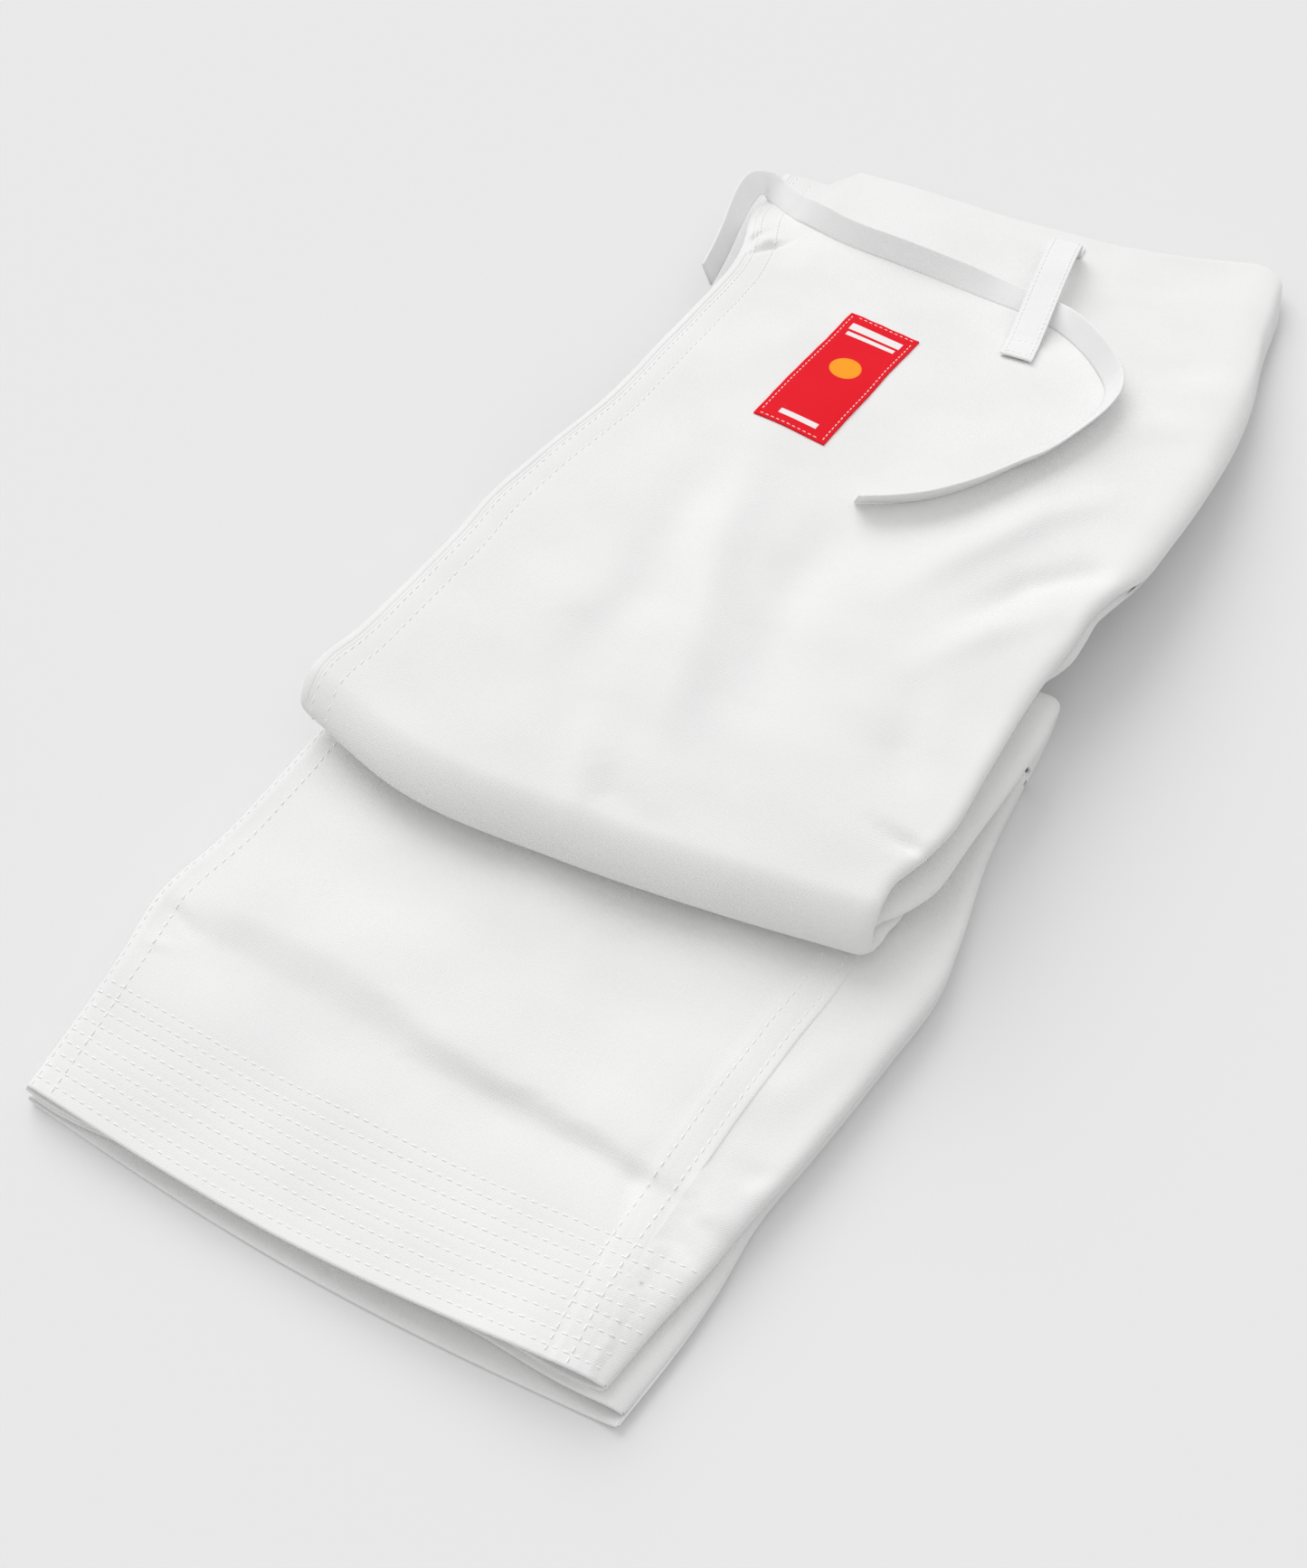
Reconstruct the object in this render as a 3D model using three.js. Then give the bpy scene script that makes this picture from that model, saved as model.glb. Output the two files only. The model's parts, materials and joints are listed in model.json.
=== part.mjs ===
// Karate trousers, folded in half lengthwise (left leg on top of the right leg) and then
// Z-folded in length, with the waist end draping down behind the pile.
// Millimetres, +X across the garment, +Y from hem to waist, +Z up.
// Every piece is drawn on the flat, unfolded garment (x across, s along, z up), and each
// section of the garment is then turned into its folded place by its group.

import * as THREE from 'three';

// ---- cloth ----
const gap = 0.3;                 // clearance between pieces that touch
const layerThickness = 3.95;     // one cloth layer with the air it holds when folded
const layerCount = 4;            // two legs, each with a front and a back

// ---- lengths of the sections between the folds ----
const shinLength = 317;          // hem to the crease of the rear fold
const kneeLength = 130;          // rear fold to front fold
const thighLength = 148;         // front fold to where the seat begins to droop
const seatLength = 302;          // droop line to the highest point of the waist

// ---- left edge and width of the folded garment at each line ----
const hemLine = { left: 0, width: 252 };
const rearFoldLine = { left: 20, width: 260 };
const frontFoldLine = { left: 20, width: 238 };
const droopLine = { left: 35, width: 238 };
const waistLine = { left: 33, width: 257 };

// ---- bands and trims ----
const hemDepth = 50;             // turned-up hem with its rows of stitching
const rightHemDrop = 3;          // the lower leg shows this much past the upper one
const rightHemSkew = 6;          // and this much more at its inseam corner
const casingDepth = 38;          // waistband casing
const casingWall = 3;            // one wall of the casing, which leaves a pocket inside
const elasticWidth = 17;
const elasticThickness = 1.5;
const tapeWidth = 12.5;          // drawstring tape
const tapeThickness = 1.6;
const stripMargin = 2;           // between the casing's seam, the elastic and the tape
const gussetInset = 22;          // how far the crotch gusset reaches in from the edge
const gussetStart = 0.14;        // shares of the seat length between which it lies
const gussetEnd = 0.64;

// Centres are given by x and the distance below the top of the waist, turns in radians.
const label = { width: 36, length: 90, thickness: 1, x: 127, fromWaist: 194, turn: -0.095 };
const loop = {
  width: 15, length: 104, thickness: 1.4, rise: 10, foot: 14, x: 187.7, fromWaist: 86, turn: 0.09,
};
const loopSteps = 16;            // facets along the loop's arch
const loopFullness = 0.8;        // under 1 makes the arch fuller than a half sine
const foldFacets = 10;           // facets round each fold

// ---- values that follow ----
const layerPitch = layerThickness + gap;
const pileThickness = layerCount * layerPitch - gap;
const creaseHeight = pileThickness + gap / 2;           // axis of the rear fold
const topSectionBase = 2 * (pileThickness + gap);       // underside of the top section
const rearFoldS = shinLength;
const frontFoldS = rearFoldS + kneeLength;
const droopS = frontFoldS + thighLength;
const droopAngle = Math.asin(topSectionBase / seatLength);   // until the waist meets the floor

// ---- how the two edges wander between those lines: [share of the section, offset in x] ----
const straight = [];
const shinLeftEdge = [[0.19, -3.8], [0.28, -8.6], [0.38, -2.6], [0.57, -1.4]];
const shinRightEdge = [[0.15, 5.8], [0.34, 10.5], [0.49, 15.3], [0.62, 17.8], [0.81, 6.3]];
const kneeRightEdge = [[0.09, 2.9], [0.52, 1.4], [0.89, 4]];
const thighRightEdge = [[0.1, -1.5], [0.54, 1.3], [0.86, 1.1]];
const seatLeftEdge = [[0.14, 5.8], [0.33, 10.1], [0.53, 12.2]];
const seatRightEdge = [[0.1, 0], [0.21, 9], [0.3, 17], [0.42, 24], [0.56, 22], [0.74, 12]];

// Waist edge across the garment: [share of the waist width, distance below its highest point].
const waistEdge = [[0, 46], [0.1, 45], [0.11, 27], [0.45, 26], [0.65, 21], [0.78, 15], [0.91, 0], [1, 33]];

// Drawstring on the seat. It leaves the pile between the two legs at the left edge, bows out
// round the end of the casing, lies over the cloth, passes through the loop and ends in a
// bare tip: [x, distance below the top of the waist, height over the cloth].
const drawstringRoute = [
  [37.5, 146, -9.4], [35.6, 131, -8.6], [33.4, 117, -7.6], [31, 104, -6.2], [29.4, 93, -4.4],
  [28.9, 84, -2.6], [30.4, 76.6, -0.4], [35.2, 71.5, 1.4], [42, 73, 1.6], [52, 78.2, 1.3],
  [64, 84, 1.2], [80, 89.4, 1.2], [95, 92, 1.2], [110, 92.6, 1.2], [125, 92.8, 1.2],
  [140, 92.7, 1.2], [155, 92.6, 1.2], [170, 93.2, 1.2], [184, 94.6, 1.2], [198, 98.5, 1.2],
  [210, 105.5, 1.2], [221, 114.5, 1.2], [231, 124.5, 1.2], [238.5, 135.5, 1.2], [241.5, 148, 1.2],
  [240.5, 161, 1.2], [237, 174, 1.2], [232, 187, 1.2], [226, 200, 1.2], [219, 212.5, 1.2],
  [211, 225.5, 1.2], [202.5, 238, 1.2], [192.5, 250, 1.2], [181, 260.5, 1.2], [168, 268.5, 1.2],
];

// ---- materials ----
function fabric(color, roughness = 0.9) {
  return new THREE.MeshStandardMaterial({ color, roughness, metalness: 0 });
}
const cotton = fabric(0xf4f4f3);
const tapeCotton = fabric(0xf0f0ef);
const elasticCloth = fabric(0xdedede);
const labelCloth = fabric(0xd8202b, 0.75);

// ---- the outline of the flat garment ----
function edgePoints(startS, endS, startX, endX, offsets) {
  const points = [[startX, startS]];
  for (const [share, offset] of offsets) {
    points.push([startX + (endX - startX) * share + offset, startS + (endS - startS) * share]);
  }
  points.push([endX, endS]);
  return points;
}

function rightOf(line) {
  return line.left + line.width;
}

// x on an edge at distance s, between the points given.
function edgeX(edge, s) {
  let i = 1;
  while (i < edge.length - 1 && edge[i][1] < s) i += 1;
  const [x0, s0] = edge[i - 1];
  const [x1, s1] = edge[i];
  return x0 + (x1 - x0) * (s - s0) / (s1 - s0);
}

// The stretch of an edge between two distances, from hem to waist.
function stretch(edge, from, to) {
  const inner = edge.filter(([, s]) => s > from + gap && s < to - gap);
  return [[edgeX(edge, from), from], ...inner, [edgeX(edge, to), to]];
}

const sections = {
  shin: {
    start: 0, end: rearFoldS,
    left: edgePoints(0, rearFoldS, hemLine.left, rearFoldLine.left, shinLeftEdge),
    right: edgePoints(0, rearFoldS, rightOf(hemLine), rightOf(rearFoldLine), shinRightEdge),
  },
  knee: {
    start: rearFoldS, end: frontFoldS,
    left: edgePoints(rearFoldS, frontFoldS, rearFoldLine.left, frontFoldLine.left, straight),
    right: edgePoints(rearFoldS, frontFoldS, rightOf(rearFoldLine), rightOf(frontFoldLine), kneeRightEdge),
  },
  thigh: {
    start: frontFoldS, end: droopS,
    left: edgePoints(frontFoldS, droopS, frontFoldLine.left, droopLine.left, straight),
    right: edgePoints(frontFoldS, droopS, rightOf(frontFoldLine), rightOf(droopLine), thighRightEdge),
  },
  seat: {
    start: droopS, end: droopS + seatLength,
    left: edgePoints(droopS, droopS + seatLength, droopLine.left, waistLine.left, seatLeftEdge),
    right: edgePoints(droopS, droopS + seatLength, rightOf(droopLine), rightOf(waistLine), seatRightEdge),
  },
};

// A flat piece: an outline in x and s, extruded from zLow to zHigh.
function slab(outline, zLow, zHigh) {
  const shape = new THREE.Shape(outline.map(([x, s]) => new THREE.Vector2(x, s)));
  const geometry = new THREE.ExtrudeGeometry(shape, { depth: zHigh - zLow, bevelEnabled: false });
  return geometry.translate(0, 0, zLow);
}

function named(name, geometry, material) {
  const mesh = new THREE.Mesh(geometry, material);
  mesh.name = name;
  return mesh;
}

// The four layers from the bottom of the flat garment up, two for each leg.
const layers = ['right_front', 'right_back', 'left_back', 'left_front'].map((side, index) => ({
  side,
  lowerWall: index % 2 === 0,
  zLow: index * layerPitch,
  zHigh: index * layerPitch + layerThickness,
}));

function legOf(side) {
  return side.split('_')[0];
}

function isFront(side) {
  return side.endsWith('_front');
}

// ---- groups that fold the flat garment ----
const shinGroup = new THREE.Group();

const kneeGroup = new THREE.Group();              // turned over about the rear fold
kneeGroup.rotation.x = Math.PI;
kneeGroup.position.set(0, 2 * rearFoldS, 2 * creaseHeight);

const frontCreaseY = rearFoldS - kneeLength;
const thighGroup = new THREE.Group();             // turned back again about the front fold
thighGroup.position.set(0, frontCreaseY - frontFoldS, topSectionBase);

const droopY = frontCreaseY + thighLength;
const seatGroup = new THREE.Group();              // leans down about the droop line
seatGroup.position.set(0, droopY, topSectionBase);
seatGroup.rotation.x = -droopAngle;
const seatFlat = new THREE.Group();               // flat coordinates inside the leaning group
seatFlat.position.set(0, -droopS, 0);
seatGroup.add(seatFlat);

// ---- leg panels ----
function sectionOutline(section, from, to) {
  const left = stretch(section.left, from, to);
  const right = stretch(section.right, from, to);
  return [...right, ...left.reverse()];
}

function hemOutline(dropLeft, dropRight, top) {
  const { left, right } = sections.shin;
  const leftPoints = stretch(left, 0, top).slice(1).reverse();
  const rightPoints = stretch(right, 0, top).slice(1);
  return [[rightOf(hemLine), -dropRight], ...rightPoints, ...leftPoints, [hemLine.left, -dropLeft]];
}

for (const { side, zLow, zHigh } of layers) {
  const drop = legOf(side) === 'right' ? rightHemDrop : 0;
  const skew = legOf(side) === 'right' ? rightHemSkew : 0;
  const hem = hemOutline(drop, drop + skew, hemDepth);
  shinGroup.add(named(`${side}_hem`, slab(hem, zLow, zHigh), cotton));

  const shin = sectionOutline(sections.shin, hemDepth + gap, rearFoldS);
  shinGroup.add(named(`${side}_shin`, slab(shin, zLow, zHigh), cotton));

  const knee = sectionOutline(sections.knee, rearFoldS, frontFoldS);
  kneeGroup.add(named(`${side}_knee`, slab(knee, zLow, zHigh), cotton));

  const thigh = sectionOutline(sections.thigh, frontFoldS, droopS);
  thighGroup.add(named(`${side}_thigh`, slab(thigh, zLow, zHigh), cotton));
}

// Turns an extruded profile so that its x runs along +Y, its y along +Z and its depth
// along +X from the place given.
function sideways(geometry, fromX) {
  const turn = new THREE.Matrix4().set(0, 0, 1, fromX, 1, 0, 0, 0, 0, 1, 0, 0, 0, 0, 0, 1);
  return geometry.applyMatrix4(turn);
}

// ---- cloth turning round the two folds ----
// Half a ring about a crease, from its inner to its outer radius, between two x places.
function foldRing(innerRadius, outerRadius, xLeft, xRight) {
  const shape = new THREE.Shape();
  shape.moveTo(0, -outerRadius);
  shape.absarc(0, 0, outerRadius, -Math.PI / 2, Math.PI / 2, false);
  shape.lineTo(0, innerRadius);
  shape.absarc(0, 0, innerRadius, Math.PI / 2, -Math.PI / 2, true);
  shape.closePath();
  const geometry = new THREE.ExtrudeGeometry(shape, {
    depth: xRight - xLeft, bevelEnabled: false, curveSegments: foldFacets,
  });
  return sideways(geometry, xLeft);
}

const legThickness = 2 * layerPitch;
const foldRings = [
  { reach: 'inner', low: gap, high: legThickness - gap },
  { reach: 'outer', low: legThickness, high: pileThickness - gap / 2 },
];
for (const { reach, low, high } of foldRings) {
  const rear = named(
    reach === 'inner' ? 'left_rear_fold' : 'right_rear_fold',
    foldRing(low, high, rearFoldLine.left, rightOf(rearFoldLine)), cotton,
  );
  rear.position.set(0, rearFoldS + gap, creaseHeight);
  shinGroup.add(rear);

  // The front fold lies the other way round, so the left leg is outermost there.
  const front = named(
    reach === 'inner' ? 'right_front_fold' : 'left_front_fold',
    foldRing(low, high, frontFoldLine.left, rightOf(frontFoldLine)), cotton,
  );
  front.position.set(0, frontFoldS + gap, -gap / 2);
  kneeGroup.add(front);
}

// ---- seat, gusset and waistband casing ----
const waistS = droopS + seatLength;
const waistPoints = waistEdge.map(([share, drop]) => [
  waistLine.left + waistLine.width * share, waistS - drop,
]);
const seamPoints = waistPoints.map(([x, s]) => [x, s - casingDepth]);
const leftCorner = seamPoints[0][1];
const rightCorner = seamPoints[seamPoints.length - 1][1];
seamPoints[0] = [edgeX(sections.seat.left, leftCorner), leftCorner];
seamPoints[seamPoints.length - 1] = [edgeX(sections.seat.right, rightCorner), rightCorner];

const gussetFrom = droopS + seatLength * gussetStart;
const gussetTo = droopS + seatLength * gussetEnd;

function seatOutline(hasGusset) {
  const { left, right } = sections.seat;
  let rightPoints = stretch(right, droopS + gap, rightCorner - gap);
  if (hasGusset) {
    const before = stretch(right, droopS + gap, gussetFrom);
    const after = stretch(right, gussetTo, rightCorner - gap);
    const inset = stretch(right, gussetFrom + gap, gussetTo - gap);
    rightPoints = [...before, ...inset.map(([x, s]) => [x - gussetInset, s]), ...after];
  }
  const seam = seamPoints.slice(1, -1).map(([x, s]) => [x, s - gap]).reverse();
  const leftPoints = stretch(left, droopS + gap, leftCorner - gap).reverse();
  return [...rightPoints, ...seam, ...leftPoints];
}

function gussetOutline() {
  const outer = stretch(sections.seat.right, gussetFrom + 2 * gap, gussetTo - 2 * gap);
  const inner = outer.map(([x, s]) => [x - gussetInset + gap, s]).reverse();
  return [...outer, ...inner];
}

// A strip inside the casing, a set distance above its seam.
function stripOutline(aboveSeam, width) {
  const low = seamPoints.slice(2, -1).map(([x, s]) => [x, s + aboveSeam]);
  const high = low.map(([x, s]) => [x, s + width]).reverse();
  return [...low, ...high];
}

// The two walls of one leg's casing leave a pocket between them: the lower wall keeps to
// the underside of its layer and the upper wall to the top of its own.
const casingOutline = [...seamPoints, ...waistPoints.slice().reverse()];
for (const { side, zLow, zHigh, lowerWall } of layers) {
  seatFlat.add(named(`${side}_seat`, slab(seatOutline(!isFront(side)), zLow, zHigh), cotton));
  const wallLow = lowerWall ? zLow : zHigh - casingWall;
  seatFlat.add(named(`${side}_waistband`, slab(casingOutline, wallLow, wallLow + casingWall), cotton));
}

function pocketFloor(layer) {
  return layer.zLow + casingWall + gap;
}
for (const layer of layers.filter(({ lowerWall }) => lowerWall)) {
  const low = pocketFloor(layer);
  const elastic = slab(stripOutline(stripMargin, elasticWidth), low, low + elasticThickness);
  seatFlat.add(named(`${legOf(layer.side)}_elastic`, elastic, elasticCloth));
}

const gussetLow = layers[1].zLow;
const gussetHigh = layers[2].zHigh;
seatFlat.add(named('crotch_gusset', slab(gussetOutline(), gussetLow, gussetHigh), cotton));

// ---- label ----
const patchShape = new THREE.BoxGeometry(label.width, label.length, label.thickness);
const patch = named('label_patch', patchShape, labelCloth);
patch.position.set(label.x, waistS - label.fromWaist, pileThickness + gap + label.thickness / 2);
patch.rotation.z = label.turn;
seatFlat.add(patch);

// ---- loop that the drawstring passes through: an arched strap with two flat feet ----
function archedStrap({ width, length, thickness, rise, foot }) {
  const half = length / 2;
  const upper = [];
  const lower = [];
  for (let i = 0; i <= loopSteps; i += 1) {
    const s = -half + foot + (length - 2 * foot) * i / loopSteps;
    const height = rise * Math.sin(Math.PI * i / loopSteps) ** loopFullness;
    lower.push([s, height]);
    upper.push([s, height + thickness]);
  }
  const outline = [
    [-half, 0], ...lower, [half, 0], [half, thickness], ...upper.reverse(), [-half, thickness],
  ];
  const shape = new THREE.Shape(outline.map(([s, z]) => new THREE.Vector2(s, z)));
  const geometry = new THREE.ExtrudeGeometry(shape, { depth: width, bevelEnabled: false });
  return sideways(geometry, -width / 2);
}
const strap = named('drawstring_loop', archedStrap(loop), tapeCotton);
strap.position.set(loop.x, waistS - loop.fromWaist, pileThickness + gap);
strap.rotation.z = loop.turn;
seatFlat.add(strap);

// ---- drawstring: a flat tape swept along its route, lying on the cloth ----
function tapeAlong(route, width, thickness) {
  const points = route.map(([x, fromWaist, height]) => (
    new THREE.Vector3(x, waistS - fromWaist, pileThickness + height)
  ));
  const positions = [];
  const indices = [];
  points.forEach((point, i) => {
    const before = points[Math.max(i - 1, 0)];
    const after = points[Math.min(i + 1, points.length - 1)];
    const across = new THREE.Vector3(-(after.y - before.y), after.x - before.x, 0).setLength(width / 2);
    for (const [side, lift] of [[-1, -1], [1, -1], [1, 1], [-1, 1]]) {
      positions.push(point.x + side * across.x, point.y + side * across.y, point.z + lift * thickness / 2);
    }
  });
  for (let i = 0; i < points.length - 1; i += 1) {
    for (let k = 0; k < 4; k += 1) {
      const a = 4 * i + k;
      const b = 4 * i + (k + 1) % 4;
      indices.push(a, b, b + 4, a, b + 4, a + 4);
    }
  }
  const last = 4 * (points.length - 1);
  indices.push(0, 2, 1, 0, 3, 2, last, last + 1, last + 2, last, last + 2, last + 3);
  const geometry = new THREE.BufferGeometry();
  geometry.setAttribute('position', new THREE.Float32BufferAttribute(positions, 3));
  geometry.setIndex(indices);
  return geometry;
}
seatFlat.add(named('drawstring', tapeAlong(drawstringRoute, tapeWidth, tapeThickness), tapeCotton));

// The same tape goes on inside the left half of the casing, beside the elastic.
const innerTapeLow = pocketFloor(layers[2]);
const innerTapeOutline = stripOutline(2 * stripMargin + elasticWidth, tapeWidth);
const innerTape = slab(innerTapeOutline, innerTapeLow, innerTapeLow + tapeThickness - gap);
seatFlat.add(named('drawstring_in_casing', innerTape, tapeCotton));

// ---- the garment, with its origin under the middle of its box ----
const garment = new THREE.Group();
garment.add(shinGroup, kneeGroup, thighGroup, seatGroup);
garment.updateMatrixWorld(true);

const box = new THREE.Box3();
garment.traverse((object) => {
  if (object.isMesh && object.name !== 'drawstring') box.expandByObject(object, true);
});
const middle = box.getCenter(new THREE.Vector3());
garment.position.set(-middle.x, -middle.y, -box.min.z);

const karateTrousers = new THREE.Group();
karateTrousers.add(garment);

export default karateTrousers;
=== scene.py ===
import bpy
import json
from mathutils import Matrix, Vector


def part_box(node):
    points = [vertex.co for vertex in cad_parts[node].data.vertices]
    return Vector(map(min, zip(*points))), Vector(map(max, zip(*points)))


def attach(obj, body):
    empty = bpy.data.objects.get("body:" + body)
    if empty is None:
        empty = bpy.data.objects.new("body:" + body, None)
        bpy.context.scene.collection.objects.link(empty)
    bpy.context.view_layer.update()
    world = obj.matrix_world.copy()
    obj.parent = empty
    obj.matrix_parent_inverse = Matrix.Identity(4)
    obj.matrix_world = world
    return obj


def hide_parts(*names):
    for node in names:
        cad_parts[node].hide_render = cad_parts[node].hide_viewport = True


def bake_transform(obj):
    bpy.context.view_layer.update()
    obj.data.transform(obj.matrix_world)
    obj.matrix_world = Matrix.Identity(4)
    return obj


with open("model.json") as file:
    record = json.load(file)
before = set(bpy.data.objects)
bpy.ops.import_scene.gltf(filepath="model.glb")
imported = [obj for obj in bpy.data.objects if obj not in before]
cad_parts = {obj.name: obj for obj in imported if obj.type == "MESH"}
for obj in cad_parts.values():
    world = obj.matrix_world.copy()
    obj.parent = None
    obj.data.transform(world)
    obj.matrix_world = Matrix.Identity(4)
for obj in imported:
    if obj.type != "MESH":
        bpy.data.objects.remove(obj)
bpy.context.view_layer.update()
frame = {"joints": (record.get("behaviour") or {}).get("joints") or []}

import json
import math

import bpy
import numpy as np
from mathutils import Vector

# Folded karate trousers in white canvas. Everything is worked out in millimetres on the
# garment: x across from the left end of the hem, y from the hem to the waist, z up.
# The frame says where that garment lies.

joints = {joint["name"]: joint for joint in frame["joints"]}
rearHinge = Vector(joints["knee_fold"]["pos_m"]) * 1000
frontHinge = Vector(joints["thigh_fold"]["pos_m"]) * 1000
droopHinge = Vector(joints["seat_drop"]["pos_m"]) * 1000
labelLow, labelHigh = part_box("label_patch")

garment = {
    "shin": 317,              # hem to the rear fold's crease
    "turn": 26,               # cloth taken by each fold
    "top": 448,               # front crease to the highest point of the waist
    "labelX": 127,            # the label's centre across the garment
    "pile": 16.7,             # four layers
    "seat": 302,              # droop line to the highest point of the waist
}
knee = rearHinge.y - frontHinge.y
shift = np.array([500 * (labelLow.x + labelHigh.x) - garment["labelX"], rearHinge.y - garment["shin"], 0.0])
frontCrease = garment["shin"] - knee
droopStart = garment["shin"] + droopHinge.y - rearHinge.y
waistTop = frontCrease + garment["top"]

# distance along the cloth where each stretch ends
shinEnd = garment["shin"]
kneeStart = shinEnd + garment["turn"]
kneeEnd = kneeStart + knee
topStart = kneeEnd + garment["turn"]
clothEnd = topStart + garment["top"]


def toRow(points):
    return (np.asarray(points, float) + shift) / 1000


def rowPoint(x, y, z):
    return tuple(toRow([x, y, z]))


def smoothStep(low, high, value):
    t = np.clip((value - low) / (high - low), 0, 1)
    return t * t * (3 - 2 * t)


def curveThrough(points, at):
    places, values = np.array(points, float).T
    slopes = np.gradient(values, places)
    i = np.clip(np.searchsorted(places, at, side="right") - 1, 0, len(places) - 2)
    span = places[i + 1] - places[i]
    t = np.clip((at - places[i]) / span, 0, 1)
    return ((2 * t ** 3 - 3 * t ** 2 + 1) * values[i] + (t ** 3 - 2 * t ** 2 + t) * span * slopes[i]
            + (3 * t ** 2 - 2 * t ** 3) * values[i + 1] + (t ** 3 - t ** 2) * span * slopes[i + 1])


# ---- camera, light and floor ----
camera = {
    "place": (350.7, -169.4, 690.8),
    "turn": 27.4,             # degrees left of straight across from the hem
    "down": 56.8,
    "lens": 45.57,
}
studio = {
    "floorGrey": 0.80, "floorSize": 6,
    "sideLight": 0.20, "topLight": 1.00,
    "sunStrength": 1.36, "sunSpread": 50, "sunFrom": (-0.58, 0.50, 0.64),
}


def addSun(name, strength, spread, comesFrom):
    bpy.ops.object.light_add(type="SUN", location=(0, 0, 1))
    lamp = bpy.context.active_object
    lamp.name = name
    lamp.data.energy = strength
    lamp.data.angle = math.radians(spread)
    lamp.rotation_euler = Vector(comesFrom).to_track_quat("Z", "Y").to_euler()


def makeStudio():
    bpy.ops.object.camera_add(location=rowPoint(*camera["place"]))
    view = bpy.context.active_object
    view.rotation_euler = (math.radians(90 - camera["down"]), 0, math.radians(camera["turn"]))
    view.data.sensor_width = 36
    view.data.lens = camera["lens"]
    bpy.context.scene.camera = view

    bpy.ops.mesh.primitive_plane_add(size=studio["floorSize"], location=(0, 0, 0))
    floor = bpy.context.active_object
    floor.name = "studioFloor"
    grey = studio["floorGrey"]
    floor.data.materials.append(plainMaterial("floorPaper", (grey, grey, grey), 0.9))

    world = bpy.data.worlds.new("studioLight")
    world.use_nodes = True
    # a soft box overhead: the sky is brightest straight up
    tree = world.node_tree
    back = tree.nodes["Background"]
    back.inputs["Color"].default_value = (1, 1, 1, 1)
    direction = tree.nodes.new("ShaderNodeTexCoord")
    split = tree.nodes.new("ShaderNodeSeparateXYZ")
    rise = tree.nodes.new("ShaderNodeMapRange")
    for socket, value in ((1, 0.0), (2, 1.0), (3, studio["sideLight"]), (4, studio["topLight"])):
        rise.inputs[socket].default_value = value
    tree.links.new(direction.outputs["Generated"], split.inputs[0])
    tree.links.new(split.outputs["Z"], rise.inputs[0])
    tree.links.new(rise.outputs[0], back.inputs["Strength"])
    bpy.context.scene.world = world
    addSun("softKey", studio["sunStrength"], studio["sunSpread"], studio["sunFrom"])
    bpy.context.scene.view_settings.view_transform = "Standard"


# ---- materials ----
def plainMaterial(name, colour, roughness):
    material = bpy.data.materials.new(name)
    material.use_nodes = True
    shader = material.node_tree.nodes["Principled BSDF"]
    shader.inputs["Base Color"].default_value = (*colour, 1)
    shader.inputs["Roughness"].default_value = roughness
    return material


def nodeMaker(material):
    tree = material.node_tree

    def make(kind, inputs=None, **settings):
        node = tree.nodes.new(kind)
        for key, value in settings.items():
            setattr(node, key, value)
        for key, value in (inputs or {}).items():
            if isinstance(value, bpy.types.NodeSocket):
                tree.links.new(value, node.inputs[key])
            else:
                node.inputs[key].default_value = value
        return node
    return make, tree


canvasLook = {
    "light": (0.865, 0.865, 0.86), "dark": (0.76, 0.76, 0.76),
    "roughness": 0.88, "sheen": 0.25, "threadPitch": 0.55, "bump": 0.35,
}


def wovenMaterial(name, look):
    # a plain weave on the piece's own UV map, which is in millimetres of cloth
    material = plainMaterial(name, look["light"], look["roughness"])
    make, tree = nodeMaker(material)
    shader = tree.nodes["Principled BSDF"]
    shader.inputs["Sheen Weight"].default_value = look["sheen"]
    shader.inputs["Sheen Roughness"].default_value = 0.5
    uv = make("ShaderNodeUVMap", uv_map="cloth")
    split = make("ShaderNodeSeparateXYZ", {0: uv.outputs[0]})
    turns = math.pi / look["threadPitch"]
    waves = []
    for axis in "XY":
        scaled = make("ShaderNodeMath", {0: split.outputs[axis], 1: turns}, operation="MULTIPLY")
        waves.append(make("ShaderNodeMath", {0: scaled.outputs[0]}, operation="SINE"))
    crossing = make("ShaderNodeMath", {0: waves[0].outputs[0], 1: waves[1].outputs[0]}, operation="MULTIPLY")
    slub = make("ShaderNodeTexNoise", {"Vector": uv.outputs[0], "Scale": 0.9, "Detail": 3.0})
    height = make("ShaderNodeMath", {0: crossing.outputs[0], 1: 0.5, 2: slub.outputs["Fac"]},
                  operation="MULTIPLY_ADD")
    bump = make("ShaderNodeBump", {"Height": height.outputs[0], "Strength": look["bump"], "Distance": 0.0003})
    tree.links.new(bump.outputs[0], shader.inputs["Normal"])
    fade = make("ShaderNodeTexNoise", {"Vector": uv.outputs[0], "Scale": 0.02, "Detail": 4.0})
    grain = make("ShaderNodeMath", {0: crossing.outputs[0], 1: 0.10, 2: fade.outputs["Fac"]},
                 operation="MULTIPLY_ADD")
    colour = make("ShaderNodeMix", {0: grain.outputs[0], 6: (*look["dark"], 1), 7: (*look["light"], 1)},
                  data_type="RGBA")
    ramp = make("ShaderNodeMapRange", {0: grain.outputs[0], 1: 0.3, 2: 0.62, 3: 0.7, 4: 1.0})
    tree.links.new(ramp.outputs[0], colour.inputs[0])
    tree.links.new(colour.outputs[2], shader.inputs["Base Color"])
    return material


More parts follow.
